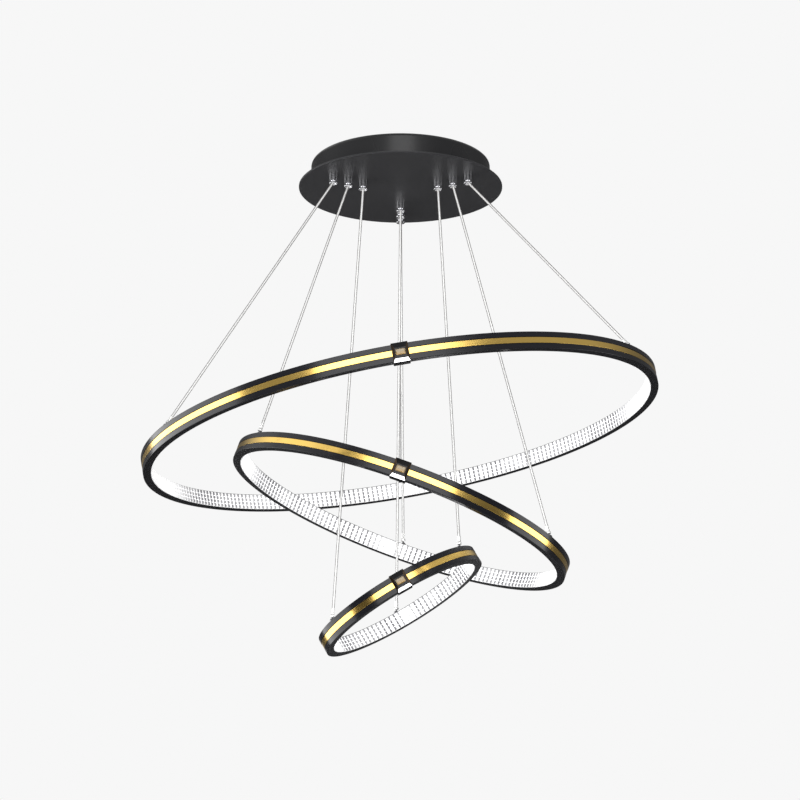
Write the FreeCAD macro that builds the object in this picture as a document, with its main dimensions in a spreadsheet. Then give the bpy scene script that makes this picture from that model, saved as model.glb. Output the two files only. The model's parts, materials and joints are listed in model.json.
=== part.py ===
"""Pendant chandelier: three tilted LED rings hung on nine cables from a round ceiling canopy.

Millimetres. The origin is the centre of the ceiling face, +Z is up and -Y faces the viewer.
Each ring hangs on three cables, at 210, 330 and 90 degrees round it: left, right and rear.
"""
import FreeCAD, Part
import math
import os
import re

import Sketcher
from FreeCAD import Placement, Rotation, Vector

SIZES = [
    # canopy: a drawn drum against the ceiling, closed from below by a wider plate with a hoop
    ("drum_radius", 105.5, "outside of the drum"),
    ("drum_height", 28, "ceiling to the drum's lower rim"),
    ("drum_wall", 1.2, "sheet steel"),
    ("drum_round", 4, "outer radius of the drum's ceiling edge"),
    ("plate_radius", 120, "outside of the canopy plate"),
    ("plate_thick", 2, "canopy plate"),
    ("plate_chamfer", 0.5, "both edges of the canopy plate"),
    ("hoop_height", 9, "hoop on the plate, inside the drum"),
    ("hoop_wall", 1.2, "wall of the hoop"),
    ("hoop_gap", 0.2, "hoop to drum"),
    ("entry_radius", 9, "hole for the mains cable's grommet"),
    ("entry_offset", 40, "mains hole, forward of the centre"),
    ("grommet_bore", 6, "radius of the way through the grommet"),
    ("grommet_flange", 11.5, "radius of the flange inside the drum"),
    ("grommet_lip", 1.8, "thickness of that flange"),
    ("slot_spacing", 150, "between the two ceiling screw slots"),
    ("slot_length", 14, "end to end"),
    ("slot_width", 5, "for 4.5 mm screws"),
    ("side_screw_angle", 10, "round the drum, and again opposite"),
    ("side_screw_depth", 23.5, "below the ceiling"),
    ("side_screw_radius", 1.5, "M3 thread"),
    ("side_hole_radius", 1.7, "clearance hole in the drum"),
    ("side_head_radius", 2.8, "pan head"),
    ("side_head_height", 1.4, "pan head"),
    ("side_screw_reach", 5, "shank under the head"),
    # driver and terminal block on the canopy plate
    ("driver_length", 120, "along X"),
    ("driver_width", 40, "along Y"),
    ("driver_height", 16, "case without its lid"),
    ("driver_wall", 1.5, "case walls, floor and lid"),
    ("driver_back", 12, "case centre, behind the middle"),
    ("board_thick", 1.6, "circuit board"),
    ("board_gap", 2, "board to the case, all round and below"),
    ("block_length", 30, "terminal block along X"),
    ("block_width", 16, "along Y"),
    ("block_height", 13, "above the plate"),
    ("block_front", 66, "its centre, forward of the middle"),
    ("block_pitch", 9, "between its three terminals"),
    ("terminal_radius", 2.2, "screw wells"),
    ("terminal_depth", 6, "screw wells"),
    # cable grippers
    ("row_first", 50.5, "innermost gripper of each row, from the centre"),
    ("row_pitch", 20, "between the grippers of a row"),
    ("barrel_radius", 4.8, "chromed barrel under the plate"),
    ("barrel_length", 7.4, "below the plate"),
    ("stud_radius", 4, "threaded stud through the plate"),
    ("stud_length", 10, "from the plate's underside up"),
    ("cable_bore", 1.75, "way for the cable"),
    ("chamber_radius", 2.75, "bore that guides the release's stem"),
    ("chamber_depth", 10, "from the barrel's lower end"),
    ("stem_radius", 2.7, "release stem, a running fit"),
    ("stem_inside", 4, "stem in the barrel at rest"),
    ("release_gap", 1.6, "barrel to release flange at rest"),
    ("release_radius", 5.15, "flange that is pushed to free the cable"),
    ("release_thick", 1.8, "flange"),
    ("release_throat", 2.2, "cable way at the top of the flange"),
    ("release_mouth", 4.2, "flared mouth at the bottom"),
    ("throat_rise", 2, "cable bore to throat"),
    ("nut_circle", 7.5, "corner radius of the lock nut"),
    ("nut_thick", 4, "lock nut"),
    ("spring_radius", 2.3, "middle of the release spring's wire"),
    ("spring_wire", 0.45, "wire, across its six flats"),
    ("spring_pitch", 1.15, "turn to turn"),
    # suspension cables and their ends
    ("cable_radius", 1.5, "steel cable in a clear jacket"),
    ("cable_bend", 3.5, "bend where the cable leaves the release"),
    ("bend_depth", 38, "start of that bend below the ceiling"),
    ("tail_depth", 15, "upper end of the cable below the ceiling"),
    ("cable_gap", 0.3, "cable to its ferrule"),
    ("ferrule_radius", 2.2, "sleeve on the cable's end"),
    ("ferrule_length", 8, "ball centre to the cable"),
    ("cup_radius", 2.7, "outside of the cup round the ball"),
    ("cup_lip", 1.1, "cup below the ball's middle"),
    ("ball_radius", 1.9, "ball on the ring"),
    ("ball_play", 0.12, "ball to cup"),
    ("neck_radius", 0.8, "under the ball"),
    ("neck_length", 5.2, "ring's upper face to the ball's centre"),
    ("dome_radius", 2.8, "foot of the ball stud"),
    ("spigot_radius", 1.2, "foot's spigot in the ring"),
    ("spigot_length", 2.2, "foot's spigot in the ring"),
    # rings: radius, depth of the centre under the ceiling, tilt about +Y, then pitch about +X
    ("large_radius", 300, "outside of the large ring"),
    ("middle_radius", 201, "outside of the middle ring"),
    ("small_radius", 101.5, "outside of the small ring"),
    ("large_drop", 323, "centre below the ceiling"),
    ("middle_drop", 424.2, "centre below the ceiling"),
    ("small_drop", 526.5, "centre below the ceiling"),
    ("large_tilt", -10, "right side up"),
    ("middle_tilt", 20, "left side up"),
    ("small_tilt", -30.4, "right side up"),
    ("large_pitch", 0, "rear side up"),
    ("middle_pitch", 0, "rear side up"),
    ("small_pitch", -0.9, "rear side down"),
    ("large_turn", 28, "front cables' feet, from the line between left and right"),
    ("middle_turn", 29, "front cables' feet, from the line between left and right"),
    ("small_turn", 32, "front cables' feet, from the line between left and right"),
    # section of a ring
    ("band_height", 19.2, "aluminium channel"),
    ("band_depth", 9.2, "outer face to the lips"),
    ("band_back", 2.4, "wall behind the outer face"),
    ("band_wall", 1.3, "upper and lower walls"),
    ("band_chamfer", 0.5, "outer edges"),
    ("groove_height", 7.6, "groove for the gold strip"),
    ("groove_depth", 1, "groove for the gold strip"),
    ("gold_height", 6.4, "gold strip"),
    ("gold_thick", 0.8, "gold strip"),
    ("strip_height", 10, "LED strip"),
    ("strip_thick", 0.4, "LED strip"),
    ("lens_room", 3.3, "LED strip to the crystal lens"),
    ("lens_proud", 1, "lens inside the lips"),
    ("lens_cover", 0.6, "lip left bare above and below the lens"),
    ("lens_play", 0.1, "lens to the walls"),
    # clasp at the front of each ring, with a square stone
    ("clasp_width", 18, "along the ring"),
    ("clasp_height", 21.6, "across the ring"),
    ("clasp_wall", 1, "in front of the outer face and behind the lens"),
    ("clasp_round", 0.3, "outer edges"),
    ("clasp_play", 0.05, "clasp to lens"),
    ("crown_height", 1.5, "four facets that rise from the clasp's front to its window"),
    ("crown_rim", 0.5, "flat rim round the window"),
    ("window_width", 11, "window for the stone"),
    ("window_height", 8.6, "window for the stone"),
    ("stone_width", 10.8, "stone, along the ring"),
    ("stone_height", 8.4, "stone, across the ring"),
    ("stone_base", 1.8, "stone below its facets"),
    ("stone_facet", 0.8, "height of the facets"),
    ("stone_slope", 1.4, "width of the facets"),
]
RINGS = ("large", "middle", "small")
ROWS = {"left": 210, "right": 330, "rear": 90}
CLASP_ANGLE = 270
UP = Vector(0, 0, 1)

doc = FreeCAD.newDocument("chandelier")
sheet = doc.addObject("Spreadsheet::Sheet", "Sizes")
for line, (alias, value, remark) in enumerate(SIZES, start=1):
    sheet.set(f"A{line}", remark)
    sheet.set(f"B{line}", str(value))
    sheet.setAlias(f"B{line}", alias)
doc.recompute()

nodes = {}


def cells(text):
    """Turn 'drum_radius - drum_wall' into an expression on the sheet's cells."""
    return re.sub(r"[a-z_]+", lambda word: "Sizes." + word.group(), text)


def size(text):
    """The value in millimetres or degrees of an expression on the sheet's cells."""
    return float(sheet.evalExpression(cells(text)))


def keep(label, item):
    """Make the object a sub-part with its own file."""
    item.Label = label
    nodes[label] = item
    return item


def at(x=0.0, y=0.0, z=0.0, turn=None):
    """A placement from plain numbers."""
    return Placement(Vector(x, y, z), turn or Rotation())


def primitive(kind, label, place, **sizes):
    """A Part primitive whose sizes follow the sheet."""
    item = doc.addObject("Part::" + kind, label)
    item.Label = label
    for name, text in sizes.items():
        item.setExpression(name, cells(text))
    item.Placement = place
    return item


def cylinder(label, place, radius, height):
    return primitive("Cylinder", label, place, Radius=radius, Height=height)


def centred_box(label, middle, turn, length, width, height):
    """A box whose centre is at the given point."""
    corner = Vector(-size(length) / 2, -size(width) / 2, -size(height) / 2)
    place = Placement(middle, turn).multiply(Placement(corner, Rotation()))
    return primitive("Box", label, place, Length=length, Width=width, Height=height)


def fused(label, items):
    item = doc.addObject("Part::MultiFuse", label)
    item.Label = label
    item.Shapes = items
    return item


def cut(label, base, tool):
    item = doc.addObject("Part::Cut", label)
    item.Label = label
    item.Base = base
    item.Tool = tool
    return item


def group(label, items):
    """Several solids, all alike, in one node."""
    item = doc.addObject("Part::Compound", label)
    item.Links = items
    return keep(label, item)


def body_with_outline(label, role, corners):
    """A body with one closed sketch, each corner of it tied to the sheet."""
    body = doc.addObject("PartDesign::Body", label)
    body.Label = label
    plane = next(item for item in body.Origin.OriginFeatures if item.Role == role)
    sketch = body.newObject("Sketcher::SketchObject", label + "_outline")
    sketch.AttachmentSupport = [(plane, "")]
    sketch.MapMode = "FlatFace"
    points = [Vector(size(across), size(up), 0) for across, up in corners]
    count = len(points)
    for number, point in enumerate(points):
        sketch.addGeometry(Part.LineSegment(point, points[(number + 1) % count]), False)
    for number in range(count):
        sketch.addConstraint(Sketcher.Constraint("Coincident", number, 2, (number + 1) % count, 1))
    for number, (point, texts) in enumerate(zip(points, corners)):
        for kind, value, text in zip(("DistanceX", "DistanceY"), point, texts):
            made = sketch.addConstraint(Sketcher.Constraint(kind, -1, 1, number, 1, value))
            sketch.setExpression(f"Constraints[{made}]", cells(text))
    return body, sketch


def turned(label, corners, place=None):
    """A turned piece: its half section, as (radius, height) corners, spun round Z."""
    body, sketch = body_with_outline(label, "XZ_Plane", corners)
    spin = body.newObject("PartDesign::Revolution", label + "_spin")
    spin.Profile = sketch
    spin.ReferenceAxis = (sketch, ["V_Axis"])
    spin.Angle = 360
    sketch.Visibility = False
    body.Placement = place or at()
    doc.recompute()
    return body


def round_circles(body, radius, height, fillet):
    """Round the turned body's circular edges of one radius at one height."""
    tip = body.Tip
    names = []
    for number, edge in enumerate(tip.Shape.Edges, start=1):
        circle = getattr(edge, "Curve", None)
        if not hasattr(circle, "Radius"):
            continue
        level = edge.BoundBox.ZMin
        if abs(circle.Radius - size(radius)) < 1e-4 and abs(level - size(height)) < 1e-4:
            names.append(f"Edge{number}")
    rounding = body.newObject("PartDesign::Fillet", body.Label + "_round")
    rounding.Base = (tip, names)
    rounding.setExpression("Radius", cells(fillet))
    doc.recompute()


# ---------------------------------------------------------------- where things hang

def gripper_spot(ring, row):
    """Plan position of a ring's gripper: the small ring uses the innermost ones."""
    place_in_row = RINGS[::-1].index(ring)
    reach = size("row_first") + place_in_row * size("row_pitch")
    angle = math.radians(ROWS[row])
    return Vector(reach * math.cos(angle), reach * math.sin(angle), 0)


def ring_place(ring):
    """The ring's own frame: its axis is Z and its middle plane is z = 0."""
    tilt = Rotation(Vector(0, 1, 0), size(ring + "_tilt"))
    pitch = Rotation(Vector(1, 0, 0), size(ring + "_pitch"))
    return Placement(Vector(0, 0, -size(ring + "_drop")), pitch.multiply(tilt))


def foot_angle(ring, row):
    """Where a cable meets its ring, in degrees round the ring."""
    turn = size(ring + "_turn")
    return {"left": 180 + turn, "right": 360 - turn, "rear": 90}[row]


def foot_point(ring, row):
    """Where the ball stud stands, on the middle of the ring's upper face."""
    reach = size(f"{ring}_radius - band_depth / 2")
    angle = math.radians(foot_angle(ring, row))
    local = Vector(reach * math.cos(angle), reach * math.sin(angle), size("band_height / 2"))
    return ring_place(ring).multVec(local)


def cable_line(ring, row):
    """Bend start, bend end, outward unit vector in plan and bend angle of a cable."""
    start = gripper_spot(ring, row) - UP * size("bend_depth")
    offset = foot_point(ring, row) - start
    outward = Vector(offset.x, offset.y, 0)
    across = outward.Length
    down = -offset.z
    outward.normalize()
    bend = size("cable_bend")
    reach = math.hypot(down, across - bend)
    angle = math.atan2(across - bend, down) + math.asin(bend / reach)
    finish = start + outward * (bend * (1 - math.cos(angle))) - UP * (bend * math.sin(angle))
    return start, finish, outward, angle


def cable_end_place(ring, row):
    """Frame at a ball's centre, with Z along the cable towards the canopy."""
    foot = foot_point(ring, row)
    along = (cable_line(ring, row)[1] - foot).normalize()
    return Placement(foot + along * size("neck_length"), Rotation(UP, along))


# ---------------------------------------------------------------- canopy

SIDE_TURNS = [Rotation(UP, size("side_screw_angle") + half) for half in (0, 180)]


def side_tool(label, radius):
    """One long cylinder that drills both side screw holes."""
    lay = SIDE_TURNS[0].multiply(Rotation(Vector(0, 1, 0), 90))
    start = SIDE_TURNS[0].multVec(Vector(-size("plate_radius"), 0, 0))
    return cylinder(label, at(start.x, start.y, -size("side_screw_depth"), lay), radius, "2 * plate_radius")


def slot_tool(label, side):
    """A long hole along X through the drum's ceiling face."""
    half = size("slot_length / 2 - slot_width / 2")
    middle = side * size("slot_spacing / 2")
    ends = [cylinder(f"{label}_end{number}", at(middle + shift, 0, -size("drum_height / 2")),
                     "slot_width / 2", "drum_height")
            for number, shift in enumerate((-half, half))]
    web = centred_box(label + "_web", Vector(middle, 0, 0), Rotation(),
                      "slot_length - slot_width", "slot_width", "drum_height")
    return fused(label, ends + [web])


def make_drum():
    shell = turned("drum_shell", [
        ("0", "0"),
        ("drum_radius", "0"),
        ("drum_radius", "-drum_height"),
        ("drum_radius - drum_wall", "-drum_height"),
        ("drum_radius - drum_wall", "-drum_wall"),
        ("0", "-drum_wall"),
    ])
    round_circles(shell, "drum_radius", "0", "drum_round")
    round_circles(shell, "drum_radius - drum_wall", "-drum_wall", "drum_round - drum_wall")
    entry = cylinder("entry_tool", at(0, -size("entry_offset"), -size("drum_height / 2")),
                     "entry_radius", "drum_height")
    tools = [entry, slot_tool("left_slot", -1), slot_tool("right_slot", 1),
             side_tool("drum_side_holes", "side_hole_radius")]
    keep("canopy_drum", cut("canopy_drum", shell, fused("drum_tools", tools)))


def make_plate():
    disc = turned("plate_disc", [
        ("0", "-drum_height - plate_thick"),
        ("plate_radius - plate_chamfer", "-drum_height - plate_thick"),
        ("plate_radius", "-drum_height - plate_thick + plate_chamfer"),
        ("plate_radius", "-drum_height - plate_chamfer"),
        ("plate_radius - plate_chamfer", "-drum_height"),
        ("0", "-drum_height"),
    ])
    holes = []
    for ring in RINGS:
        for row in ROWS:
            spot = gripper_spot(ring, row)
            hole = at(spot.x, spot.y, -size("drum_height + 2 * plate_thick"))
            holes.append(cylinder(f"stud_hole_{ring}_{row}", hole, "stud_radius", "3 * plate_thick"))
    keep("canopy_plate", cut("canopy_plate", disc, fused("stud_holes", holes)))


def make_hoop():
    """Hoop welded on the plate, for the side screws that hold it in the drum."""
    outer = "drum_radius - drum_wall - hoop_gap"
    band = turned("hoop_band", [
        (outer, "-drum_height"),
        (outer, "-drum_height + hoop_height"),
        (outer + " - hoop_wall", "-drum_height + hoop_height"),
        (outer + " - hoop_wall", "-drum_height"),
    ])
    keep("canopy_hoop", cut("canopy_hoop", band, side_tool("hoop_side_holes", "side_screw_radius")))


def make_side_screws():
    screws = []
    for number, turn in enumerate(SIDE_TURNS):
        seat = turn.multVec(Vector(size("drum_radius"), 0, 0)) - UP * size("side_screw_depth")
        outward = turn.multiply(Rotation(Vector(0, 1, 0), 90))
        screws.append(turned(f"side_screw_{number}", [
            ("0", "-side_screw_reach"),
            ("side_screw_radius", "-side_screw_reach"),
            ("side_screw_radius", "0"),
            ("side_head_radius", "0"),
            ("side_head_radius", "side_head_height / 2"),
            ("side_screw_radius", "side_head_height"),
            ("0", "side_head_height"),
        ], Placement(seat, outward)))
    group("side_screws", screws)


def make_grommet():
    keep("cable_grommet", turned("cable_grommet", [
        ("grommet_bore", "0"),
        ("entry_radius", "0"),
        ("entry_radius", "-drum_wall"),
        ("grommet_flange", "-drum_wall"),
        ("grommet_flange", "-drum_wall - grommet_lip"),
        ("grommet_bore", "-drum_wall - grommet_lip"),
    ], at(0, -size("entry_offset"), 0)))


def make_driver():
    """Case, circuit board and lid of the low-voltage driver, lying on the plate."""
    floor = -size("drum_height")
    back = size("driver_back")
    length, width = "driver_length", "driver_width"
    inner_length = "driver_length - 2 * driver_wall"
    inner_width = "driver_width - 2 * driver_wall"
    middle = Vector(0, back, floor + size("driver_height / 2"))
    shell = centred_box("driver_block", middle, Rotation(), length, width, "driver_height")
    hollow = centred_box("driver_hollow", middle + UP * size("driver_wall"), Rotation(),
                         inner_length, inner_width, "driver_height")
    keep("driver_case", cut("driver_case", shell, hollow))

    top = floor + size("driver_height + driver_wall / 2")
    cover = centred_box("lid_sheet", Vector(0, back, top), Rotation(), length, width, "driver_wall")
    key = centred_box("lid_key", Vector(0, back, top - size("driver_wall")), Rotation(),
                      inner_length + " - 2 * lens_play", inner_width + " - 2 * lens_play", "driver_wall")
    keep("driver_lid", fused("driver_lid", [cover, key]))

    level = floor + size("driver_wall + board_gap + board_thick / 2")
    board_length = inner_length + " - 2 * board_gap"
    board_width = inner_width + " - 2 * board_gap"
    board = centred_box("board_sheet", Vector(0, back, level), Rotation(),
                        board_length, board_width, "board_thick")
    deck = level + size("board_thick / 2")
    quarter = size("driver_length / 4")
    core = centred_box("transformer", Vector(0, back, deck + size("board_gap")), Rotation(),
                       "driver_length / 4", "driver_width / 2", "driver_height / 2")
    cans = [cylinder(f"capacitor_{number}", at(shift, back, deck - size("board_thick / 2")),
                     "driver_width / 8", "driver_height / 2")
            for number, shift in enumerate((-quarter, quarter))]
    keep("driver_board", fused("driver_board", [board, core] + cans))


def make_terminal_block():
    floor = -size("drum_height")
    front = -size("block_front")
    middle = Vector(0, front, floor + size("block_height / 2"))
    block = centred_box("block_body", middle, Rotation(), "block_length", "block_width", "block_height")
    tools = []
    for number in range(3):
        across = (number - 1) * size("block_pitch")
        well = at(across, front, floor + size("block_height - terminal_depth"))
        tools.append(cylinder(f"terminal_well_{number}", well, "terminal_radius", "terminal_depth"))
        lay = Rotation(Vector(1, 0, 0), -90)
        way = at(across, front - size("block_width / 2"), floor + size("block_height / 3"), lay)
        tools.append(cylinder(f"wire_way_{number}", way, "cable_radius", "block_width"))
    keep("terminal_block", cut("terminal_block", block, fused("block_tools", tools)))


# ---------------------------------------------------------------- grippers

def gripper_barrel(label, spot):
    under = "-drum_height - plate_thick"
    lower = under + " - barrel_length"
    return turned(label, [
        ("cable_bore", under + " + stud_length"),
        ("stud_radius", under + " + stud_length"),
        ("stud_radius", under),
        ("barrel_radius", under),
        ("barrel_radius", lower),
        ("chamber_radius", lower),
        ("chamber_radius", lower + " + chamber_depth"),
        ("cable_bore", lower + " + chamber_depth"),
    ], at(spot.x, spot.y))


def gripper_release(label, spot):
    """The sprung collar that is pushed up to free the cable."""
    lower = "-drum_height - plate_thick - barrel_length"
    seat = lower + " - release_gap"
    return turned(label, [
        ("cable_bore", lower + " + stem_inside"),
        ("stem_radius", lower + " + stem_inside"),
        ("stem_radius", seat),
        ("release_radius", seat),
        ("release_radius", seat + " - release_thick"),
        ("release_mouth", seat + " - release_thick"),
        ("release_throat", seat),
        ("cable_bore", seat + " + throat_rise"),
    ], at(spot.x, spot.y))


def lock_nut(label, spot):
    top = at(spot.x, spot.y, -size("drum_height"))
    prism = primitive("Prism", label + "_hex", top, Circumradius="nut_circle", Height="nut_thick")
    prism.Polygon = 6
    return cut(label, prism, cylinder(label + "_bore", top, "stud_radius", "nut_thick"))


def spring_shape():
    """One release spring about the Z axis, between the stem and the chamber's roof."""
    lower = -size("drum_height + plate_thick + barrel_length")
    wire = size("spring_wire / 2")
    bottom = lower + size("stem_inside") + 2 * wire
    height = lower + size("chamber_depth") - 2 * wire - bottom
    line = Part.makeHelix(size("spring_pitch"), height, size("spring_radius"))
    corner = wire / math.cos(math.radians(30))
    corners = [Vector(size("spring_radius") + corner * math.cos(turn), 0, corner * math.sin(turn))
               for turn in (math.radians(60 * number + 30) for number in range(7))]
    spring = Part.Wire(line.Edges).makePipeShell([Part.makePolygon(corners)], True, True)
    spring.translate(UP * bottom)
    return spring


def make_grippers():
    barrels, nuts, springs = [], [], []
    spring = spring_shape()
    for ring in RINGS:
        for row in ROWS:
            spot = gripper_spot(ring, row)
            barrels.append(gripper_barrel(f"barrel_{ring}_{row}", spot))
            nuts.append(lock_nut(f"nut_{ring}_{row}", spot))
            springs.append(spring.translated(spot))
            keep(f"{ring}_{row}_release", gripper_release(f"{ring}_{row}_release", spot))
    group("gripper_barrels", barrels)
    group("gripper_nuts", nuts)
    coils = doc.addObject("Part::Feature", "gripper_springs")
    coils.Shape = Part.makeCompound(springs)
    keep("gripper_springs", coils)


# ---------------------------------------------------------------- cables

def make_cable(ring, row):
    """Straight down through the gripper, a small bend, then taut to the ring."""
    start, finish, outward, angle = cable_line(ring, row)
    place = cable_end_place(ring, row)
    along = place.Rotation.multVec(UP)
    end = place.Base + along * size("ferrule_length + cable_gap")
    top = Vector(start.x, start.y, -size("tail_depth"))
    bend = size("cable_bend")
    half = start + outward * (bend * (1 - math.cos(angle / 2))) - UP * (bend * math.sin(angle / 2))
    runs = [Part.LineSegment(top, start), Part.Arc(start, half, finish), Part.LineSegment(finish, end)]
    path = Part.Wire([run.toShape() for run in runs])
    section = Part.Wire(Part.makeCircle(size("cable_radius"), top, UP))
    cable = doc.addObject("Part::Feature", f"{ring}_{row}_cable")
    cable.Shape = path.makePipeShell([section], True, False)
    keep(f"{ring}_{row}_cable", cable)
    expected = path.Length * math.pi * size("cable_radius") ** 2
    print(f"{ring}_{row}_cable: length {path.Length:.1f}, bend radius {bend:.1f} over"
          f" {math.degrees(angle):.1f} degrees, volume ratio {cable.Shape.Volume / expected:.4f}")


def make_ferrule(ring, row):
    """Sleeve on the cable's end whose cup holds the ball of the ring's stud."""
    name = f"{ring}_{row}_ferrule"
    place = cable_end_place(ring, row)
    outside = [
        primitive("Sphere", name + "_cup", place, Radius="cup_radius"),
        cylinder(name + "_sleeve", place, "ferrule_radius", "ferrule_length"),
    ]
    below = place.multiply(at(z=-size("cup_lip + cup_radius")))
    inside = [
        primitive("Sphere", name + "_seat", place, Radius="ball_radius + ball_play"),
        cylinder(name + "_mouth", below, "2 * cup_radius", "cup_radius"),
    ]
    keep(name, cut(name, fused(name + "_outside", outside), fused(name + "_inside", inside)))


# ---------------------------------------------------------------- rings

def stud_place(ring, row):
    """Frame at a ball stud's foot, with Z out of the ring's upper face."""
    return Placement(foot_point(ring, row), ring_place(ring).Rotation)


def make_profile(ring):
    """Aluminium channel, open inwards, with a groove for the gold strip."""
    outer = ring + "_radius"
    top = "band_height / 2"
    channel = turned(ring + "_channel", [
        (outer, "-groove_height / 2"),
        (outer, f"-{top} + band_chamfer"),
        (outer + " - band_chamfer", f"-{top}"),
        (outer + " - band_depth", f"-{top}"),
        (outer + " - band_depth", f"-{top} + band_wall"),
        (outer + " - band_back", f"-{top} + band_wall"),
        (outer + " - band_back", f"{top} - band_wall"),
        (outer + " - band_depth", f"{top} - band_wall"),
        (outer + " - band_depth", top),
        (outer + " - band_chamfer", top),
        (outer, f"{top} - band_chamfer"),
        (outer, "groove_height / 2"),
        (outer + " - groove_depth", "groove_height / 2"),
        (outer + " - groove_depth", "-groove_height / 2"),
    ], ring_place(ring))
    holes = []
    for row in ROWS:
        below = stud_place(ring, row).multiply(at(z=-size("spigot_length")))
        holes.append(cylinder(f"{ring}_{row}_hole", below, "spigot_radius", "2 * spigot_length"))
    name = ring + "_profile"
    keep(name, cut(name, channel, fused(ring + "_holes", holes)))


def turned_band(label, ring, inner, outer, height):
    """A plain hoop on the ring's middle plane, between two depths from the outside."""
    edge = ring + "_radius"
    return turned(label, [
        (f"{edge} - {inner}", f"-{height} / 2"),
        (f"{edge} - {outer}", f"-{height} / 2"),
        (f"{edge} - {outer}", f"{height} / 2"),
        (f"{edge} - {inner}", f"{height} / 2"),
    ], ring_place(ring))


def make_lens(ring):
    """Crystal-clear lens: a tongue between the channel's walls and a face over its lips."""
    edge = ring + "_radius"
    tongue = "band_height / 2 - band_wall - lens_play"
    face = "band_height / 2 - lens_cover"
    back = edge + " - band_back - strip_thick - lens_room"
    lip = edge + " - band_depth"
    front = edge + " - band_depth - lens_proud"
    label = ring + "_lens"
    keep(label, turned(label, [
        (back, f"-({tongue})"),
        (back, tongue),
        (lip, tongue),
        (lip, face),
        (front, face),
        (front, f"-({face})"),
        (lip, f"-({face})"),
        (lip, f"-({tongue})"),
    ], ring_place(ring)))


def make_studs(ring):
    """Three ball studs: domed foot and spigot in the ring, neck and ball along the cable."""
    studs = []
    for row in ROWS:
        name = f"{ring}_{row}_stud"
        foot = stud_place(ring, row)
        ball = cable_end_place(ring, row)
        dome = primitive("Sphere", name + "_dome", foot, Radius="dome_radius")
        dome.Angle1 = 0
        spigot = cylinder(name + "_spigot", foot.multiply(at(z=-size("spigot_length"))),
                          "spigot_radius", "spigot_length + dome_radius / 2")
        neck = cylinder(name + "_neck", ball.multiply(at(z=-size("neck_length - dome_radius / 2"))),
                        "neck_radius", "neck_length - dome_radius / 2")
        head = primitive("Sphere", name + "_ball", ball, Radius="ball_radius")
        studs.append(fused(name, [dome, spigot, neck, head]))
    group(ring + "_ball_studs", studs)


def frustum(label, place, low, high, foot, top):
    """Four facets along the frame's Z; foot and top are the (height, width) of their rectangles."""
    wedge = doc.addObject("Part::Wedge", label)
    edges = {"Ymin": low, "Ymax": high}
    for name, side in (("X", 0), ("Z", 1)):
        for number, rectangle in (("", foot), ("2", top)):
            edges[f"{name}{number}min"] = f"-({rectangle[side]}) / 2"
            edges[f"{name}{number}max"] = f"({rectangle[side]}) / 2"
    for name, text in edges.items():
        wedge.setExpression(name, cells(text))
    wedge.Placement = place.multiply(at(turn=Rotation(Vector(1, 0, 0), 90)))
    return wedge


def make_clasp(ring):
    """Sleeve round the ring at the front, with four facets, a window and its stone."""
    outward = Rotation(UP, CLASP_ANGLE)
    frame = ring_place(ring)
    depth = "band_depth + lens_proud + 2 * clasp_wall"
    reach = size(f"{ring}_radius + clasp_wall") - size(depth) / 2
    # the box's own X points outwards, so that its length is the clasp's depth
    middle = frame.multiply(Placement(outward.multVec(Vector(reach, 0, 0)), outward))
    block = centred_box(ring + "_clasp_block", middle.Base, middle.Rotation,
                        depth, "clasp_width", "clasp_height")
    doc.recompute()
    rounding = doc.addObject("Part::Fillet", ring + "_clasp_rounded")
    rounding.Base = block
    radius = size("clasp_round")
    rounding.Edges = [(number, radius, radius) for number in range(1, len(block.Shape.Edges) + 1)]

    # a frame on the ring's outer face whose Z points outwards and whose X runs down the clasp
    edge = size(ring + "_radius")
    seat = frame.multiply(Placement(outward.multVec(Vector(edge, 0, 0)), outward))
    face = seat.multiply(at(turn=Rotation(Vector(0, 1, 0), 90)))
    crown = frustum(ring + "_clasp_crown", face, "clasp_wall", "clasp_wall + crown_height",
                    ("clasp_height - 2 * clasp_round", "clasp_width - 2 * clasp_round"),
                    ("window_height + 2 * crown_rim", "window_width + 2 * crown_rim"))
    blank = turned_band(ring + "_clasp_way", ring,
                        "(band_depth + lens_proud + clasp_play)", "0", "band_height")
    window = centred_box(ring + "_clasp_window", seat.Base, seat.Rotation,
                         "6 * clasp_wall", "window_width", "window_height")
    name = ring + "_clasp"
    keep(name, cut(name, fused(ring + "_clasp_body", [rounding, crown]),
                   fused(ring + "_clasp_tools", [blank, window])))

    foot = centred_box(ring + "_stone_foot", face.multVec(Vector(0, 0, size("stone_base / 2"))),
                       face.Rotation, "stone_height", "stone_width", "stone_base")
    facets = frustum(ring + "_stone_facets", face, "stone_base", "stone_base + stone_facet",
                     ("stone_height", "stone_width"),
                     ("stone_height - 2 * stone_slope", "stone_width - 2 * stone_slope"))
    keep(ring + "_clasp_stone", fused(ring + "_clasp_stone", [foot, facets]))


def make_ring(ring):
    make_profile(ring)
    keep(ring + "_gold_strip", turned_band(ring + "_gold_strip", ring, "groove_depth",
                                           "(groove_depth - gold_thick)", "gold_height"))
    keep(ring + "_led_strip", turned_band(ring + "_led_strip", ring, "(band_back + strip_thick)",
                                          "band_back", "strip_height"))
    make_lens(ring)
    make_studs(ring)
    make_clasp(ring)
    for row in ROWS:
        make_ferrule(ring, row)
        make_cable(ring, row)
        centre = cable_end_place(ring, row).Base
        print(f"{ring}_{row}_ball: {centre.x:.4f} {centre.y:.4f} {centre.z:.4f}")


make_drum()
make_plate()
make_hoop()
make_side_screws()
make_grommet()
make_driver()
make_terminal_block()
make_grippers()
for ring_name in RINGS:
    make_ring(ring_name)
doc.recompute()

failed = [item.Label for item in doc.Objects if {"Invalid", "Error"} & set(item.State)]
if failed:
    raise RuntimeError("failed to compute: " + ", ".join(failed))
for label, item in nodes.items():
    if item.Shape.isNull() or not item.Shape.isValid() or not item.Shape.Solids:
        raise RuntimeError("bad shape: " + label)

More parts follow.
